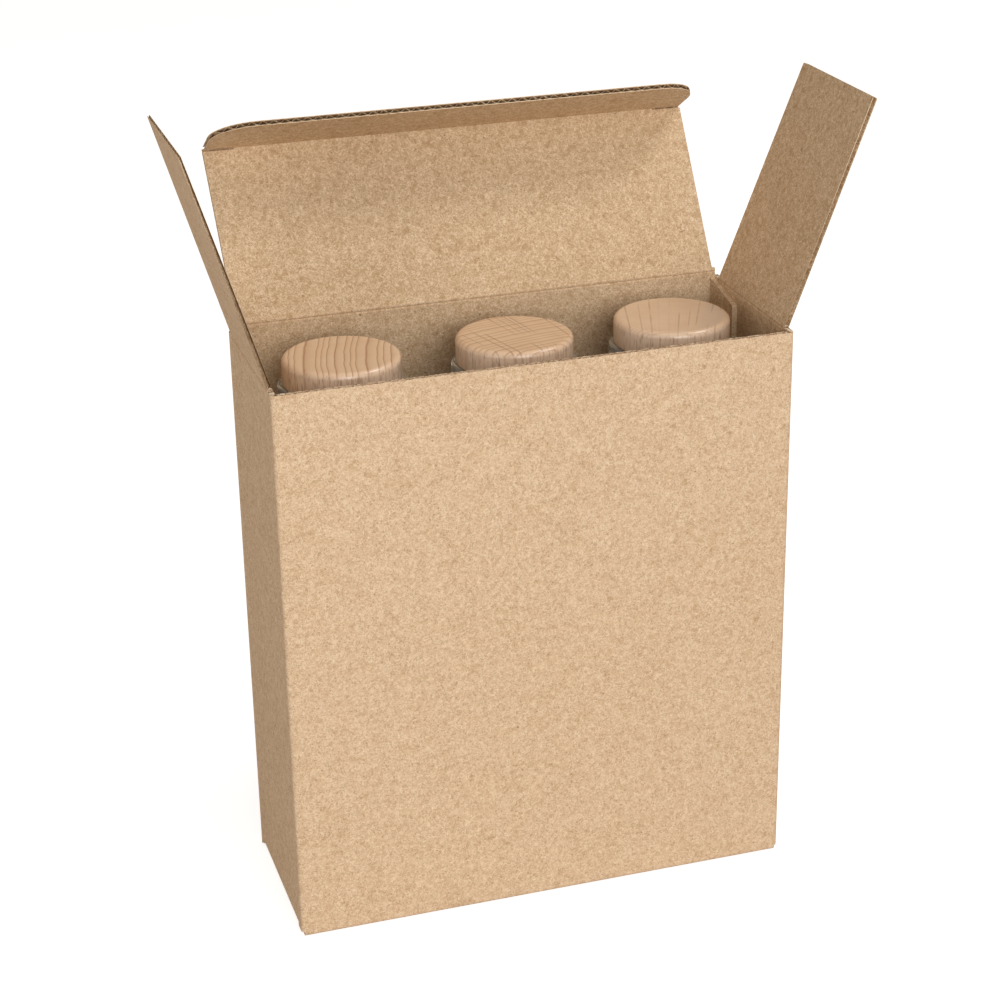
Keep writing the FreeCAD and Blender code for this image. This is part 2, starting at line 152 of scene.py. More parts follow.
# one row for each layer of fibres: seed, size of its noise in mm, width of the
# band, share that is kept, and strength
DARK_LAYERS = ((4.0, 1.0, 0.055, 1.0, 0.42), (31.0, 0.75, 0.070, 1.0, 0.38),
               (52.0, 1.4, 0.035, 0.7, 0.50))
PALE_LAYERS = ((1.0, 1.0, 0.055, 1.0, 0.50), (21.0, 0.75, 0.070, 1.0, 0.44),
               (47.0, 1.4, 0.035, 0.7, 0.55))
FIBRE_CURL = 0.8
BREAK_MM = 1.6
BREAK_SEED = 7.3


def fibres(tree, where, seed, size, width, share):
    """Thin wandering bands: 1 on a fibre and 0 beside it."""
    field = add(tree, "TexNoise", {"Vector": where, "W": seed, "Detail": 1.0,
                "Scale": per_mm(size), "Distortion": FIBRE_CURL}, noise_dimensions="4D")
    away = add(tree, "Math", {0: field, 1: 0.5}, operation="SUBTRACT")
    away = add(tree, "Math", {0: away}, operation="ABSOLUTE")
    band = add(tree, "MapRange", {"Value": away, "From Min": 0.0, "From Max": width,
               "To Min": 1.0, "To Max": 0.0})
    breaks = add(tree, "TexNoise", {"Vector": where, "W": seed + BREAK_SEED, "Detail": 0.0,
                 "Scale": per_mm(BREAK_MM)}, noise_dimensions="4D")
    keep = add(tree, "MapRange", {"Value": breaks, "From Min": 0.62 - share * 0.24,
               "From Max": 0.68 - share * 0.24})
    return add(tree, "Math", {0: band, 1: keep}, operation="MULTIPLY")


def felt(tree, where, tone):
    """Lays all the layers of fibres over a tone; also gives the last layer."""
    for colour, layers in ((DARK_FIBRE, DARK_LAYERS), (PALE_FIBRE, PALE_LAYERS)):
        for seed, size, width, share, strength in layers:
            band = fibres(tree, where, seed, size, width, share)
            cover = add(tree, "Math", {0: band, 1: strength}, operation="MULTIPLY")
            tone = add(tree, "Mix", {0: cover, 6: tone, 7: colour}, **COLOURS)
    return tone, band


print("layers of fibres:", len(DARK_LAYERS), "dark and", len(PALE_LAYERS), "pale")

# %% [markdown]
# Under the fibres the pulp has three scales: clouds of nine millimetres, a slow
# drift over the whole sheet, and a grain finer than a millimetre. A few dark specks
# of bark lie on top of all.

# %% Pulp
CLOUD_SHADE = (0.955, 0.94, 0.93, 1.0)
PALER = 0.20
CLOUD_MM = 9.0
DRIFT_MM = 60.0
GRAIN_MM = 0.7
SPECK = paint("86643f")
SPECK_MM = 1.1
SPECK_SEED = 11.0


def pulp(tree, where, base):
    """The sheet's tone without its fibres, and its grain."""
    cloud = add(tree, "TexNoise", {"Vector": where, "Scale": per_mm(CLOUD_MM),
                "Detail": 3.0, "Roughness": 0.6})
    drift = add(tree, "TexNoise", {"Vector": where, "Scale": per_mm(DRIFT_MM), "Detail": 1.0})
    grain = add(tree, "TexNoise", {"Vector": where, "Scale": per_mm(GRAIN_MM),
                "Detail": 2.0, "Roughness": 0.7})
    deep = add(tree, "Mix", {0: 1.0, 6: base, 7: CLOUD_SHADE}, blend_type="MULTIPLY", **COLOURS)
    pale = add(tree, "Mix", {0: PALER, 6: base, 7: WHITE}, **COLOURS)
    thick = add(tree, "MapRange", {"Value": cloud, "From Min": 0.32, "From Max": 0.68})
    tone = add(tree, "Mix", {0: thick, 6: deep, 7: base}, **COLOURS)
    grainy = add(tree, "Math", {0: grain, 1: 0.10}, operation="MULTIPLY")
    tone = add(tree, "Mix", {0: grainy, 6: tone, 7: pale}, **COLOURS)
    drifting = add(tree, "MapRange", {"Value": drift, "From Min": 0.35, "From Max": 0.65,
                   "To Max": 0.06})
    return add(tree, "Mix", {0: drifting, 6: tone, 7: pale}, **COLOURS), grain


def specks(tree, where, tone):
    """Small dark specks of bark."""
    spots = add(tree, "TexNoise", {"Vector": where, "W": SPECK_SEED, "Detail": 0.0,
                "Scale": per_mm(SPECK_MM)}, noise_dimensions="4D")
    cover = add(tree, "MapRange", {"Value": spots, "From Min": 0.80, "From Max": 0.84,
                "To Max": 0.6})
    return add(tree, "Mix", {0: cover, 6: tone, 7: SPECK}, **COLOURS)


print("clouds of", CLOUD_MM, "mm and grain of", GRAIN_MM, "mm")

# %% [markdown]
# The walls are one solid with one material, so their material finds by place what
# is inside the box and gets the inner liner's darker tone, partly painted shade. It
# finds the raw top edge of the front wall in the same way: there the knife has cut
# through the board, and pale paper ends stand between the flute openings, whose
# shade is painted as dark dashes.

# %% Walls
OUTSIDE = paint("dcbc99")
# inner liner tone: partly its own darker paper, partly painted shade for the dim inside
INNER_LINER_AND_SHADE = paint("c8ab87")
INNER_X = 73.7
INNER_Y = 27.2
RAW_EDGE_Z = 168.2
CUT_FACE = paint("efdcbf")
# dark dashes of painted shade where the flute openings lie between the cut paper ends
FLUTE_HOLE_SHADE = paint("6f5236")
FLUTE_DASH_MM = 0.9
RAW_EDGE_STRENGTH = 0.85


def lined(tree, where, base):
    """The outer tone, or where a point is inside the walls the inner liner's darker tone, which is
    partly painted shade.
    """
    away = add(tree, "VectorMath", {0: where}, operation="ABSOLUTE")
    wide = add(tree, "SeparateXYZ", {0: away}, out="X")
    deep = wide.node.outputs["Y"]
    wide = add(tree, "Math", {0: wide, 1: INNER_X * MM}, operation="LESS_THAN")
    deep = add(tree, "Math", {0: deep, 1: INNER_Y * MM}, operation="LESS_THAN")
    inside = add(tree, "Math", {0: wide, 1: deep}, operation="MULTIPLY")
    return add(tree, "Mix", {0: inside, 6: base, 7: INNER_LINER_AND_SHADE}, **COLOURS)


def raw_edge(tree, where, tone):
    """The cut paper on upward faces near the top of the walls, with painted shade for its flute
    openings.
    """
    height = add(tree, "SeparateXYZ", {0: where}, out="Z")
    high = add(tree, "Math", {0: height, 1: RAW_EDGE_Z * MM}, operation="GREATER_THAN")
    facing = add(tree, "NewGeometry", out="True Normal")
    upward = add(tree, "SeparateXYZ", {0: facing}, out="Z")
    top = add(tree, "Math", {0: upward, 1: 0.9}, operation="GREATER_THAN")
    raw = add(tree, "Math", {0: high, 1: top}, operation="MULTIPLY")
    raw = add(tree, "Math", {0: raw, 1: RAW_EDGE_STRENGTH}, operation="MULTIPLY")
    paper_between_holes = add(tree, "TexNoise", {"Vector": where, "Scale": per_mm(FLUTE_DASH_MM), "Detail": 1.0})
    paper_between_holes = add(tree, "MapRange", {"Value": paper_between_holes, "From Min": 0.46, "From Max": 0.54})
    cut_paper_and_hole_shade = add(tree, "Mix", {0: paper_between_holes, 6: FLUTE_HOLE_SHADE, 7: CUT_FACE}, **COLOURS)
    return add(tree, "Mix", {0: raw, 6: tone, 7: cut_paper_and_hole_shade}, **COLOURS)


print("inside is within", INNER_X, "and", INNER_Y, "mm of the middle")

# %% [markdown]
# Paper is rough and hardly shines, so it has a high roughness and little specular
# light. Grain and fibres stand out by a few hundredths of a millimetre. The same
# paper makes five materials: the walls, the outer and the inner liner of the loose
# flaps, the paler rim where the knife shows fresh fibre, and the darker recycled
# paper of the wave.

# %% Kraft materials
FIBRE_HEIGHT = 0.04


def kraft(name, base, walls=False):
    """Matte kraft paper; the walls' kind knows its inside and its raw top edge."""
    material, tree, shader, where = blank(name)
    if walls:
        base = lined(tree, where, base)
    tone, grain = pulp(tree, where, base)
    tone, band = felt(tree, where, tone)
    tone = specks(tree, where, tone)
    if walls:
        tone = raw_edge(tree, where, tone)
    tree.links.new(tone, shader.inputs["Base Color"])
    relief = add(tree, "Math", {0: band, 1: grain}, operation="ADD")
    bump = add(tree, "Bump", {"Height": relief, "Strength": 0.3, "Distance": FIBRE_HEIGHT * MM})
    tree.links.new(bump, shader.inputs["Normal"])
    shader.inputs["Roughness"].default_value = 0.95
    shader.inputs["IOR"].default_value = 1.45
    shader.inputs["Specular IOR Level"].default_value = 0.06
    return material


kraft_walls = kraft("kraft_wall_board", OUTSIDE, walls=True)
liner_outside = kraft("kraft_outer_liner", OUTSIDE)
inner_liner_and_shade = kraft("kraft_inner_liner_and_shade", INNER_LINER_AND_SHADE)
cut_edge = kraft("cut_paper_edge", paint("e6cfae"))
flute_paper = kraft("fluting_paper", paint("a88761"))
print("materials:", [m.name for m in bpy.data.materials])

# %% [markdown]
# ## A flap of corrugated board
# Each flap is built flat, standing up from its crease at the origin, with its
# inner face to the front. The inner liner starts as a plane. Its lower edge is spun
# half a turn round the crease line, which makes the soft fold of the paper, and
# meets the outer liner on the other side. The wave between the liners is one wave,
# shaped by moving its lines of points along a cosine, and then repeated.

# %% Selecting and editing
BOARD = 1.5
LINER = 0.2
FLUTE_PITCH = 3.2
MEDIUM = 0.15
WELD = 0.01


def pick(thing):
    """Only this object is selected, and it is active."""
    bpy.ops.object.select_all(action="DESELECT")
    thing.select_set(True)
    bpy.context.view_layer.objects.active = thing


def choose(thing, verts=None, edges=None, faces=None):
    """In edit mode, selects what passes the test, by place in millimetres."""
    mesh = bmesh.from_edit_mesh(thing.data)
    for part in (mesh.verts, mesh.edges, mesh.faces):
        for item in part:
            item.select = False
    if verts:
        found = [v for v in mesh.verts if verts(v.co / MM)]
    elif edges:
        found = [e for e in mesh.edges if all(edges(v.co / MM) for v in e.verts)]
    else:
        found = [f for f in mesh.faces if faces(f.calc_center_median() / MM)]
    for item in found:
        item.select = True
    mesh.select_flush_mode()
    bmesh.update_edit_mesh(thing.data)
    return len(found)


def near(a, b, slack=0.02):
    """Two places in millimetres are the same but for rounding."""
    return abs(a - b) < slack


def split(point, across):
    """In edit mode, cuts the whole mesh along a plane."""
    bpy.ops.mesh.select_all(action="SELECT")
    bpy.ops.mesh.bisect(plane_co=Vector(point) * MM, plane_no=across)


def outward(thing):
    """Turns all faces of a closed mesh outwards."""
    pick(thing)
    bpy.ops.object.mode_set(mode="EDIT")
    bpy.ops.mesh.select_all(action="SELECT")
    bpy.ops.mesh.normals_make_consistent(inside=False)
    bpy.ops.object.mode_set(mode="OBJECT")


def apply_all(thing):
    """Applies all modifiers of an object, in their order."""
    pick(thing)
    for modifier in list(thing.modifiers):
        bpy.ops.object.modifier_apply(modifier=modifier.name)


print("one wave is", FLUTE_PITCH, "mm, and a board is", BOARD, "mm thick")

# %% [markdown]
# The outline of a flap is four corners. A corner is moved to where the real one is,
# and then rounded with a bevel of its point. The same plane serves for both liners
# and, pushed through the board, as the cutter that trims the wave.

# %% Flap outline
CORNER_STEPS = 10


def flat_sheet(name, left, right, low, high):
    """A flat sheet at y = 0, left in edit mode to be shaped."""
    bpy.ops.mesh.primitive_plane_add(size=1.0, rotation=(math.radians(90), 0, 0))
    sheet = bpy.context.object
    sheet.name = name
    sheet.scale = ((right - left) * MM, (high - low) * MM, 1.0)
    sheet.location = ((left + right) / 2 * MM, 0, (low + high) / 2 * MM)
    pick(sheet)
    bpy.ops.object.transform_apply(location=True, rotation=True, scale=True)
    bpy.ops.object.mode_set(mode="EDIT")
    bpy.ops.mesh.select_mode(type="VERT")
    return sheet


def outline_plane(name, left, right, low, high, slant, corner):
    """A flat sheet whose two upper corners are moved sideways by slant and rounded."""
    sheet = flat_sheet(name, left, right, low, high)
    for x, move in zip((left, right), slant):
        if move:
            choose(sheet, verts=lambda p: near(p.x, x) and near(p.z, high))
            bpy.ops.transform.translate(value=(move * MM, 0, 0))
    if corner:
        choose(sheet, verts=lambda p: near(p.z, high))
        bpy.ops.mesh.bevel(offset=corner * MM, offset_type="OFFSET", segments=CORNER_STEPS,
                           affect="VERTICES", clamp_overlap=False)
    bpy.ops.object.mode_set(mode="OBJECT")
    return sheet


print("a rounded corner has", CORNER_STEPS, "steps")

# %% [markdown]
# The two liners are one strip of paper in this model, folded round the crease. Where
# a flap has lock slits, only the middle of its edge is folded, so the strip is first
# cut with bisect at the slits' inner ends.

# %% Liners of a flap
FOLD_STEPS = 10


def liners(name, left, right, high, nose, slant, corner):
    """Both liner papers of a flap, joined by the fold along the crease."""
    sheet = outline_plane(name, left, right, 0.0, high, slant, corner)
    face = (BOARD - LINER) / 2
    pick(sheet)
    bpy.ops.object.mode_set(mode="EDIT")
    bpy.ops.mesh.select_mode(type="VERT")
    bpy.ops.mesh.select_all(action="SELECT")
    bpy.ops.transform.translate(value=(0, -face * MM, 0))
    for side in nose or ():
        split((side, 0, 0), (1, 0, 0))
    bpy.ops.mesh.select_all(action="SELECT")
    bpy.ops.mesh.duplicate()
    bpy.ops.transform.translate(value=(0, 2 * face * MM, 0))
    first, last = nose or (left, right)
    bpy.ops.mesh.select_mode(type="EDGE")
    edges = choose(sheet, edges=lambda p: near(p.z, 0.0) and near(p.y, -face)
                   and (first < p.x < last or near(p.x, first) or near(p.x, last)))
    bpy.ops.mesh.spin(steps=FOLD_STEPS, angle=math.radians(180), center=(0, 0, 0),
                      axis=(1, 0, 0))
    bpy.ops.mesh.select_all(action="SELECT")
    bpy.ops.mesh.remove_doubles(threshold=WELD * MM)
    bpy.ops.mesh.normals_make_consistent(inside=False)
    bpy.ops.object.mode_set(mode="OBJECT")
    lowest = min(v.co.z for v in sheet.data.vertices) / MM
    print(name, "liners: folded edges", edges, "lowest point", round(lowest, 2))
    return sheet


print("the fold turns in", FOLD_STEPS, "steps")

# %% [markdown]
# In the factory the middle paper is pressed between toothed rollers, so all its
# waves are alike. One plane of the wave's pitch is cut with bisect into columns, and
# each line of points is moved along a cosine. Array then repeats it, Solidify gives
# the paper its thickness, and a boolean keeps what lies in the flap's outline. The
# sheet starts a little longer than the flap, so that the trim makes all its edges.

# %% Wave between the liners
WAVE_COLUMNS = 8
WAVE_SPARE = 1.0


def wave(name, left, right, low, high, cutter):
    """Fluting paper between two liners, trimmed to a flap's outline."""
    low, high = low - WAVE_SPARE, high + WAVE_SPARE
    waves = math.ceil((right - left) / FLUTE_PITCH) + 1
    start = (left + right) / 2 - waves * FLUTE_PITCH / 2
    places = [start + column * FLUTE_PITCH / WAVE_COLUMNS for column in range(WAVE_COLUMNS + 1)]
    sheet = flat_sheet(name, start, start + FLUTE_PITCH, low, high)
    for x in places[1:-1]:
        split((x, 0, 0), (1, 0, 0))
    swing = (BOARD - 2 * LINER - MEDIUM) / 2
    for column, x in enumerate(places):
        choose(sheet, verts=lambda p: near(p.x, x))
        lift = swing * math.cos(2 * math.pi * column / WAVE_COLUMNS)
        bpy.ops.transform.translate(value=(0, lift * MM, 0))
    bpy.ops.object.mode_set(mode="OBJECT")
    row = sheet.modifiers.new("row", "ARRAY")
    row.count = waves
    row.use_merge_vertices = True
    row.merge_threshold = WELD * MM
    paper = sheet.modifiers.new("paper", "SOLIDIFY")
    paper.thickness = MEDIUM * MM
    paper.offset = 0.0
    trim = sheet.modifiers.new("trim", "BOOLEAN")
    trim.operation = "INTERSECT"
    trim.object = cutter
    trim.solver = "EXACT"
    apply_all(sheet)
    print(name, "waves", waves, "faces", len(sheet.data.polygons))
    return sheet


print("one wave has", WAVE_COLUMNS, "columns")

# %% [markdown]
# A flap is then its liners, given the thickness of the paper, with its wave. The
# cut rims of the liners are paler than their faces, since the knife shows fresh
# fibre there, so the rim gets a material of its own. A flap that has been squeezed
# gets thinner towards its free end. Last the flap is turned and moved to its crease
# on the box.

# %% Whole flap
FLUTE_START = 0.9
TRIM_INSET = 0.1
CUTTER_DEPTH = 4.0
SQUEEZED_TOP = 1.0
SMOOTH_ANGLE = math.radians(35)


def papered(sheet):
    """Gives the liners their thickness and their outer, rim and inner materials."""
    paper = sheet.modifiers.new("paper", "SOLIDIFY")
    paper.thickness = LINER * MM
    paper.offset = 0.0
    paper.material_offset_rim = 1
    sheet.data.materials.clear()
    for paper_kind in (liner_outside, cut_edge, inner_liner_and_shade):
        sheet.data.materials.append(paper_kind)
    apply_all(sheet)
    inner = [f for f in sheet.data.polygons if f.material_index == 0 and f.center.y < 0.0]
    for face in inner:
        face.material_index = 2
    print(sheet.name, "faces on the inner side:", len(inner))


def trimmed_wave(name, left, right, high, slant, corner):
    """The wave of a flap, cut by its outline pushed through the board."""
    cutter = outline_plane("trim_" + name, left, right, FLUTE_START, high, slant,
                           max(corner - TRIM_INSET, 0.0))
    cutter.modifiers.new("through", "SOLIDIFY").thickness = CUTTER_DEPTH * MM
    cutter.modifiers["through"].offset = 0.0
    apply_all(cutter)
    outward(cutter)
    core = wave(name + "_fluting", left + min(slant[0], 0.0), right + max(slant[1], 0.0),
                FLUTE_START, high, cutter)
    core.data.materials.clear()
    core.data.materials.append(flute_paper)
    bpy.data.objects.remove(cutter)
    return core


def flap(name, left, right, high, place, nose=None, slant=(0.0, 0.0), corner=0.0,
         upper=None, squeeze=None):
    """A finished flap of board in its place on the box."""
    sheet = liners(name, left, right, high, nose, slant, corner)
    if upper:
        upper(sheet)
    papered(sheet)
    core = trimmed_wave(name, left, right, high, slant, corner)
    for thing in (sheet, core):
        pick(thing)
        if squeeze:
            bpy.ops.object.mode_set(mode="EDIT")
            choose(thing, verts=lambda p: p.z > high - SQUEEZED_TOP)
            bpy.ops.transform.resize(value=(1.0, squeeze, 1.0),
                                     center_override=(0.0, BOARD / 2 * MM, 0.0))
            bpy.ops.object.mode_set(mode="OBJECT")
        thing.matrix_world = place
        bpy.ops.object.transform_apply(location=True, rotation=True, scale=True)
        bpy.ops.object.shade_smooth_by_angle(angle=SMOOTH_ANGLE)
    return sheet, core


joints = {j["name"]: Vector(j["pos_m"]) for j in frame["joints"]}
print("creases:", {k: [round(c / MM, 2) for c in v] for k, v in joints.items()})

# %% [markdown]
# ## The lid
# The lid leans back from the rear wall. Under the tuck's crease its inner liner
# stops a little short, as it is crushed into the fold. At both ends a lock slit
# parts the tuck from the lid's corners, so the lid has two low shoulders there.
# The shoulders are cut out of both liners with bisect, before the paper gets its
# thickness.

# %% Lid
LID_LEAN = math.radians(36.0)
LID_HALF = 72.7
LID_SLANT = (-0.95, 0.95)
LID_LENGTH = (joints["tuck_fold"] - joints["lid_hinge"]).length / MM
SLIT = 8.0
SHOULDER_DROP = 1.3
CRUSHED_DROP = 0.8
lid_place = Matrix.Translation(joints["lid_hinge"]) @ Matrix.Rotation(-LID_LEAN, 4, "X")


def lid_shoulders(sheet):
    """Cuts the lid's top edge down at the slits and along the fold's inner side."""
    pick(sheet)
    bpy.ops.object.mode_set(mode="EDIT")
    bpy.ops.mesh.select_mode(type="VERT")
    inner = LID_HALF - SLIT
    for x in (-inner, inner):
        split((x, 0, 0), (1, 0, 0))
    bpy.ops.mesh.select_mode(type="EDGE")
    wide = LID_HALF + max(LID_SLANT)
    for x0, x1, drop, y_test in ((-wide, -inner, SHOULDER_DROP, lambda y: True),
                                 (inner, wide, SHOULDER_DROP, lambda y: True),
                                 (-inner, inner, CRUSHED_DROP, lambda y: y < 0)):
        split((0, 0, LID_LENGTH - drop), (0, 0, 1))
        bpy.ops.mesh.select_mode(type="FACE")
        choose(sheet, faces=lambda p: x0 < p.x < x1 and p.z > LID_LENGTH - drop
               and y_test(p.y))
        bpy.ops.mesh.delete(type="FACE")
    bpy.ops.object.mode_set(mode="OBJECT")


lid_board, lid_fluting = flap("lid_board", -LID_HALF, LID_HALF, LID_LENGTH, lid_place,
                              slant=LID_SLANT, upper=lid_shoulders)

# %% [markdown]
# ## The tuck
# The tuck is folded forward and down from the lid. Its free corners are rounded, so
# that it slips in behind the front wall, and its ends stand free beyond the lock
# slits, so only the middle of its crease is folded paper. The paper springs back a
# few degrees when it is let go, so the tuck stands a little more open than it is
# inside the closed box.

# %% Tuck
TUCK_FOLD = math.radians(102.0)
TUCK_GIVE = math.radians(5.5)
TUCK_LEFT = -73.2
TUCK_RIGHT = 73.4
TUCK_LENGTH = 22.0
TUCK_CORNER = 12.5
tuck_place = (Matrix.Translation(joints["tuck_fold"])
              @ Matrix.Rotation(TUCK_FOLD - LID_LEAN - TUCK_GIVE, 4, "X"))
tuck_board, tuck_fluting = flap("tuck_board", TUCK_LEFT, TUCK_RIGHT, TUCK_LENGTH,
                                tuck_place, nose=(-LID_HALF + SLIT, LID_HALF - SLIT),
                                corner=TUCK_CORNER)

# %% [markdown]
# ## The dust flaps
# A dust flap continues a side wall, so its wave runs up the flap and shows at its
# free end, while its long edges show two liners with a dark slot between them. Each
# leans outward by its own angle, as flaps do that were folded once and let go. The
# left one has been squeezed at its free end, so its board gets thinner towards it.
# The front edge stops short of the front wall, so that the lid's tuck has room
# beside it in the closed box.

# %% Dust flaps
LEFT_LEAN = math.radians(16.4)
RIGHT_LEAN = math.radians(20.9)
DUST_FRONT = -24.3
DUST_BACK = 24.2
DUST_LENGTH = 68.0
DUST_CORNER = 0.5
LEFT_SLANT = (0.0, -1.4)
LEFT_SQUEEZE = 0.5
RIGHT_SLANT = (0.0, -2.6)
left_place = (Matrix.Translation(joints["left_dust_hinge"]) @ Matrix.Rotation(-LEFT_LEAN, 4, "Y")
              @ Matrix.Rotation(math.radians(90), 4, "Z"))
left_board, left_fluting = flap("left_dust_board", DUST_FRONT, DUST_BACK, DUST_LENGTH,
                                left_place, slant=LEFT_SLANT, corner=DUST_CORNER,
                                squeeze=LEFT_SQUEEZE)
# The right flap is its mirror image: it is built the same way round and then
# mirrored in its flat state, so its slanting edge is at the back too.
right_place = (Matrix.Translation(joints["right_dust_hinge"]) @ Matrix.Rotation(RIGHT_LEAN, 4, "Y")
               @ Matrix.Rotation(math.radians(-90), 4, "Z") @ Matrix.Scale(-1, 4, (1, 0, 0)))
right_board, right_fluting = flap("right_dust_board", DUST_FRONT, DUST_BACK, DUST_LENGTH,
                                  right_place, slant=RIGHT_SLANT, corner=DUST_CORNER)
for thing in (right_board, right_fluting):
    outward(thing)

for body, node, things in (("lid", "lid_panel", (lid_board, lid_fluting)),
                           ("tuck", "tuck_flap", (tuck_board, tuck_fluting)),
                           ("left_dust", "left_dust_flap", (left_board, left_fluting)),
                           ("right_dust", "right_dust_flap", (right_board, right_fluting))):
    for thing in things:
        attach(thing, body)
    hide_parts(node)
    print(node, "->", [t.name for t in things])

# %% [markdown]
# ## Turned beech heads
# The stoppers have heads of beech, turned from a rod whose grain runs upright. The
# flat top is end grain: year rings show as arcs one to two and a half millimetres
# apart, each ending in a thin darker line, with fine rays across them. The three
# heads were cut from different places in the tree, so each has its own ring centre.
# The distance from that centre, bent by a noise, counts the rings. The angle round
# it, turned into a length, places the rays.

# %% Rings and rays
RING_STOPS = ((0.0, 0.2), (0.08, 0.0), (0.55, 0.10), (0.82, 0.35), (0.90, 1.0), (0.97, 0.9),
              (1.0, 0.1))
RING_BEND_MM = 0.9
RING_BEND_SIZE = 8.0
RING_WANDER_SIZE = 6.0
RAY_MM = 0.7
RAY_BREAK_MM = 9.0


def year_rings(tree, flat_place, upright, ring_mm, wander_mm):
    """1 on the dark line that ends a ring, and low between the lines."""
    radius = add(tree, "VectorMath", {0: flat_place}, out="Value", operation="LENGTH")
    bend = add(tree, "TexNoise", {"Vector": upright, "Scale": per_mm(RING_BEND_SIZE),
               "Detail": 2.0})
    radius = add(tree, "Math", {0: bend, 1: RING_BEND_MM * MM, 2: radius},
                 operation="MULTIPLY_ADD")
    wander = add(tree, "TexNoise", {"W": radius, "Scale": per_mm(RING_WANDER_SIZE),
                 "Detail": 0.0}, noise_dimensions="1D")
    radius = add(tree, "Math", {0: wander, 1: wander_mm * MM, 2: radius},
                 operation="MULTIPLY_ADD")
    count = add(tree, "Math", {0: radius, 1: ring_mm * MM}, operation="DIVIDE")
    step = add(tree, "Math", {0: count}, operation="FRACT")
    ring = add(tree, "ValToRGB", {"Fac": step})
    stops = ring.node.color_ramp.elements
    for position, value in RING_STOPS[1:-1]:
        stops.new(position)
    for stop, (position, value) in zip(stops, RING_STOPS):
        stop.color = (value, value, value, 1.0)
    return ring


def wood_rays(tree, place, distance):
    """Thin lines that run towards the ring centre, broken into pieces."""
    x = add(tree, "SeparateXYZ", {0: place}, out="X")
    angle = add(tree, "Math", {0: x.node.outputs["Y"], 1: x}, operation="ARCTAN2")
    along = add(tree, "Math", {0: angle, 1: distance}, operation="MULTIPLY")
    lines = add(tree, "TexNoise", {"W": along, "Scale": per_mm(RAY_MM), "Detail": 0.0},
                noise_dimensions="1D")
    lines = add(tree, "MapRange", {"Value": lines, "From Min": 0.60, "From Max": 0.76})
    breaks = add(tree, "TexNoise", {"Vector": place, "Scale": per_mm(RAY_BREAK_MM),
                 "Detail": 0.0})
    breaks = add(tree, "MapRange", {"Value": breaks, "From Min": 0.38, "From Max": 0.58})
    return add(tree, "Math", {0: lines, 1: breaks}, operation="MULTIPLY")


print("rays are", RAY_MM, "mm wide at most")

# %% [markdown]
# The side of a head is crossed by short upright flecks, and is coloured a little
# paler and pinker than the top: partly its long grain, partly a painted sheen. The
# wood is sanded and waxed, which gives it a satin shine, brightest on the rounded
# rim: a middling roughness under a thin coat.

# %% Beech material
RING_LINE = paint("a4683c")
RAY_LINE = paint("94603f")
SIDE_GRAIN_AND_SHEEN = paint("ecd6c2")
FLECK = paint("8f6547")
PALE_PORE = paint("f6e2c6")
GRAIN_STRETCH = 0.06
FLECK_STRETCH = 0.16
FLECK_MM = 0.5
TONE_MM = 7.0
PORE_MM = 0.35
RINGS_ON_SIDE = 0.4


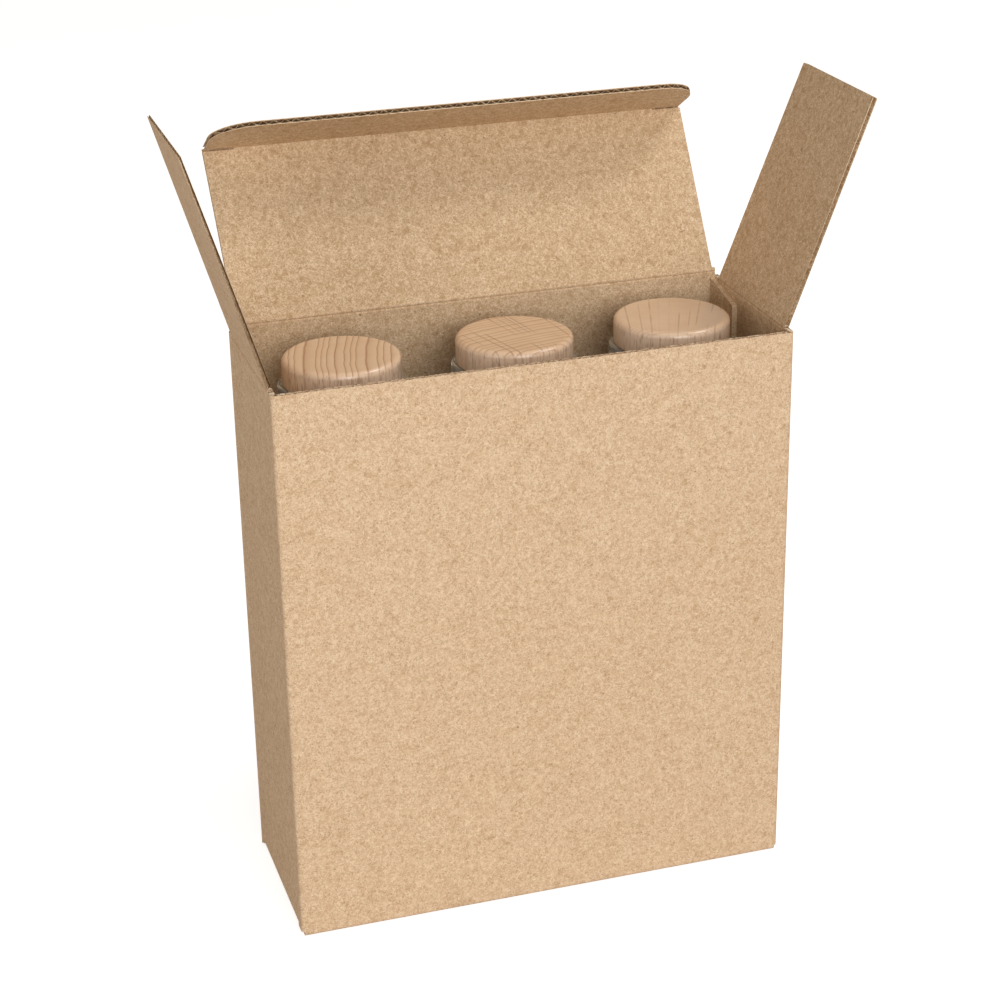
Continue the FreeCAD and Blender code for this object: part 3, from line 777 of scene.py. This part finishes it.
def beech(name, centre, ring_mm, wander_mm, ring_depth, ray_depth, tone_low, tone_high):
    """Sanded beech: rings round a far upright line, rays towards it, flecks on its side, and a
    paler side that is partly painted sheen.
    """
    material, tree, shader, where = blank(name)
    centre_at = (-centre[0] * MM, -centre[1] * MM, 0.0)
    place = add(tree, "Mapping", {"Vector": where, "Location": centre_at})
    flat_place = add(tree, "Mapping", {"Vector": place, "Scale": (1.0, 1.0, 0.0)})
    upright = add(tree, "Mapping", {"Vector": place, "Scale": (1.0, 1.0, GRAIN_STRETCH)})
    ring = year_rings(tree, flat_place, upright, ring_mm, wander_mm)
    ray = wood_rays(tree, place, math.hypot(*centre) * MM)

    facing = add(tree, "NewGeometry", out="Normal")
    facing = add(tree, "SeparateXYZ", {0: facing}, out="Z")
    flat = add(tree, "MapRange", {"Value": facing, "From Min": 0.2, "From Max": 0.9})
    side = add(tree, "MapRange", {"Value": flat, "From Min": 1.0, "From Max": 0.0})
    on_side = add(tree, "MapRange", {"Value": flat, "To Min": RINGS_ON_SIDE})

    clouds = add(tree, "TexNoise", {"Vector": upright, "Scale": per_mm(TONE_MM), "Detail": 2.0})
    tone = add(tree, "Mix", {0: clouds, 6: paint(tone_low), 7: paint(tone_high)}, **COLOURS)
    # paler, pinker side: partly the long grain, partly painted sheen
    side_grain_and_sheen_share = add(tree, "Math", {0: side, 1: 0.45}, operation="MULTIPLY")
    tone = add(tree, "Mix", {0: side_grain_and_sheen_share, 6: tone, 7: SIDE_GRAIN_AND_SHEEN}, **COLOURS)
    for lines, depth, colour in ((ring, ring_depth, RING_LINE), (ray, ray_depth, RAY_LINE)):
        shown = add(tree, "Math", {0: lines, 1: on_side}, operation="MULTIPLY")
        shown = add(tree, "Math", {0: shown, 1: depth}, operation="MULTIPLY")
        tone = add(tree, "Mix", {0: shown, 6: tone, 7: colour}, **COLOURS)

    flecks = add(tree, "Mapping", {"Vector": where, "Scale": (1.0, 1.0, FLECK_STRETCH)})
    flecks = add(tree, "TexNoise", {"Vector": flecks, "Scale": per_mm(FLECK_MM), "Detail": 1.0})
    shown = add(tree, "MapRange", {"Value": flecks, "From Min": 0.54, "From Max": 0.70,
                "To Max": 0.55})
    shown = add(tree, "Math", {0: shown, 1: side}, operation="MULTIPLY")
    tone = add(tree, "Mix", {0: shown, 6: tone, 7: FLECK}, **COLOURS)
    pores = add(tree, "TexNoise", {"Vector": upright, "Scale": per_mm(PORE_MM), "Detail": 1.0})
    pores = add(tree, "Math", {0: pores, 1: 0.22}, operation="MULTIPLY")
    tone = add(tree, "Mix", {0: pores, 6: tone, 7: PALE_PORE}, **COLOURS)
    tree.links.new(tone, shader.inputs["Base Color"])
    bump = add(tree, "Bump", {"Height": flecks, "Strength": 0.15, "Distance": 0.05 * MM})
    tree.links.new(bump, shader.inputs["Normal"])
    shader.inputs["Roughness"].default_value = 0.38
    shader.inputs["IOR"].default_value = 1.5
    shader.inputs["Coat Weight"].default_value = 0.6
    shader.inputs["Coat Roughness"].default_value = 0.22
    return material


# one row for each head: ring centre in mm, ring width and how far it wanders,
# strength of rings and of rays, and its two tones
HEADS = {"left": ((85.5, -35.5), 2.2, 3.4, 0.85, 0.0, "e6bd96", "f2d6b5"),
         "middle": ((33.0, -147.0), 2.3, 2.4, 0.70, 0.60, "e4ba92", "f0d2af"),
         "right": ((5.0, -111.0), 1.1, 1.2, 0.34, 0.45, "e0bd99", "f0d3b3")}
for place, row in HEADS.items():
    head = frame["nodes"][place + "_stopper_head"]
    head.data.materials.clear()
    head.data.materials.append(beech("beech_" + place, *row))
    print(place, "head rings about every", row[1], "mm")

# %% [markdown]
# ## Glass
# The bottles are clear soda-lime glass, smooth from the mould, with slow ripples of
# about two centimetres, and barely tinted. Clear glass alone would show only the
# dark inside of the box, so a small share of it scatters light and its lips stay pale.

# %% Glass
glass, tree, shader, where = blank("soda_lime_glass")
shader.inputs["Base Color"].default_value = paint("f2f7f4")
shader.inputs["Roughness"].default_value = 0.03
shader.inputs["IOR"].default_value = 1.52
shader.inputs["Transmission Weight"].default_value = 0.85
RIPPLE_MM = 22.0
ripple = add(tree, "TexNoise", {"Vector": where, "Scale": per_mm(RIPPLE_MM), "Detail": 1.0})
bump = add(tree, "Bump", {"Height": ripple, "Strength": 0.2, "Distance": 0.15 * MM})
tree.links.new(bump, shader.inputs["Normal"])
print("glass ripples of", RIPPLE_MM, "mm")

# %% [markdown]
# ## Cork
# Under the heads are plugs of cork, pressed from ground grains of one to two
# millimetres. A Voronoi pattern gives each grain a tone of its own, from pale to
# brown, and its own small height, so the plug looks dry, matte and speckled.

# %% Cork
CORK_GRAIN_MM = 1.6
CORK_DUST_MM = 0.6
cork, tree, shader, where = blank("agglomerated_cork")
cells = add(tree, "TexVoronoi", {"Vector": where, "Scale": per_mm(CORK_GRAIN_MM)}, out="Color")
dust = add(tree, "TexNoise", {"Vector": where, "Scale": per_mm(CORK_DUST_MM), "Detail": 3.0})
dust = add(tree, "Math", {0: dust, 1: 0.4}, operation="MULTIPLY")
shade = add(tree, "SeparateColor", {0: cells})
tone = add(tree, "Mix", {0: shade, 6: paint("b98c5c"), 7: paint("d8b384")}, **COLOURS)
tone = add(tree, "Mix", {0: dust, 6: tone, 7: paint("7d5a38")}, **COLOURS)
tree.links.new(tone, shader.inputs["Base Color"])
bump = add(tree, "Bump", {"Height": cells.node.outputs["Distance"], "Strength": 0.4,
           "Distance": 0.2 * MM})
tree.links.new(bump, shader.inputs["Normal"])
shader.inputs["Roughness"].default_value = 0.85

for name, node in frame["nodes"].items():
    new = {"bottle": glass, "plug": cork, "shell": kraft_walls}.get(name.split("_")[-1])
    if new:
        node.data.materials.clear()
        node.data.materials.append(new)
        print(name, "is", new.name)

# %% [markdown]
# ## Floor
# The box stands on a sheet of matte white paper that runs on past the edges of the
# picture. By itself it would render grey, so it gets a glow for the camera, and for
# what the camera sees through glass or in a shine. The light that reaches the paper
# is the same with it, so the box still has its shadow.

# %% Floor
FLOOR_SIZE = 8.0
FLOOR_GLOW = 0.75
bpy.ops.mesh.primitive_plane_add(size=FLOOR_SIZE, location=(0, 0, 0))
floor = bpy.context.object
floor.name = "white_floor"
sheet_white, tree, shader, where = blank("white_paper_floor")
shader.inputs["Base Color"].default_value = paint("d4d4d4")
shader.inputs["Roughness"].default_value = 0.9
shader.inputs["Specular IOR Level"].default_value = 0.1
path = add(tree, "LightPath", out="Is Camera Ray")
seen = add(tree, "Math", {0: path, 1: path.node.outputs["Is Glossy Ray"]}, operation="MAXIMUM")
seen = add(tree, "Math", {0: seen, 1: path.node.outputs["Is Transmission Ray"]},
           operation="MAXIMUM")
glow = add(tree, "Math", {0: seen, 1: FLOOR_GLOW}, operation="MULTIPLY")
tree.links.new(glow, shader.inputs["Emission Strength"])
shader.inputs["Emission Color"].default_value = WHITE
floor.data.materials.append(sheet_white)
print("floor of", FLOOR_SIZE, "m, glow", FLOOR_GLOW)

# %% [markdown]
# ## World
# The camera meets a white world, and the box is lit by a dimmer and slightly warm
# one, as in a room with pale walls.

# %% World
WORLD_LEVEL = 0.32
world = bpy.data.worlds.new("studio")
bpy.context.scene.world = world
world.use_nodes = True
tree = world.node_tree
tree.nodes.clear()
path = add(tree, "LightPath", out="Is Camera Ray")
seen = add(tree, "Math", {0: path, 1: path.node.outputs["Is Transmission Ray"]},
           operation="MAXIMUM")
level_now = add(tree, "MapRange", {"Value": seen, "To Min": WORLD_LEVEL, "To Max": 1.0})
tint = add(tree, "Mix", {0: seen, 6: paint("fff0e2"), 7: WHITE}, **COLOURS)
sky = add(tree, "Background", {"Color": tint, "Strength": level_now})
add(tree, "OutputWorld", {"Surface": sky})
print("world level", WORLD_LEVEL)

# %% [markdown]
# ## Lamps
# The light is soft and comes mostly from the front, so that the front wall is the
# brightest, the lid a little less, and the left wall and the flaps' inner faces
# are in half shade. A smaller lamp high on the right adds a little light from above
# with firmer shadows, and a low one on the left lifts the left wall.

# %% Lamps
LOOK_AT = Vector((0, 0, 0.12))


def soft_lamp(name, place, size, power):
    """A square soft box that looks at the middle of the box."""
    bpy.ops.object.light_add(type="AREA", location=place)
    lamp = bpy.context.object
    lamp.name = name
    lamp.data.size = size
    lamp.data.energy = power
    lamp.rotation_euler = (LOOK_AT - Vector(place)).to_track_quat("-Z", "Y").to_euler()


soft_lamp("front_window", (0.00, -2.10, 0.90), 1.2, 25.0)
soft_lamp("high_right", (0.80, -0.10, 1.35), 0.35, 6.0)
soft_lamp("low_left", (-1.05, -0.75, 0.25), 0.6, 3.6)

# %% [markdown]
# ## Finish
# The render keeps plain display colours.

# %% Finish
bpy.context.scene.view_settings.view_transform = "Standard"
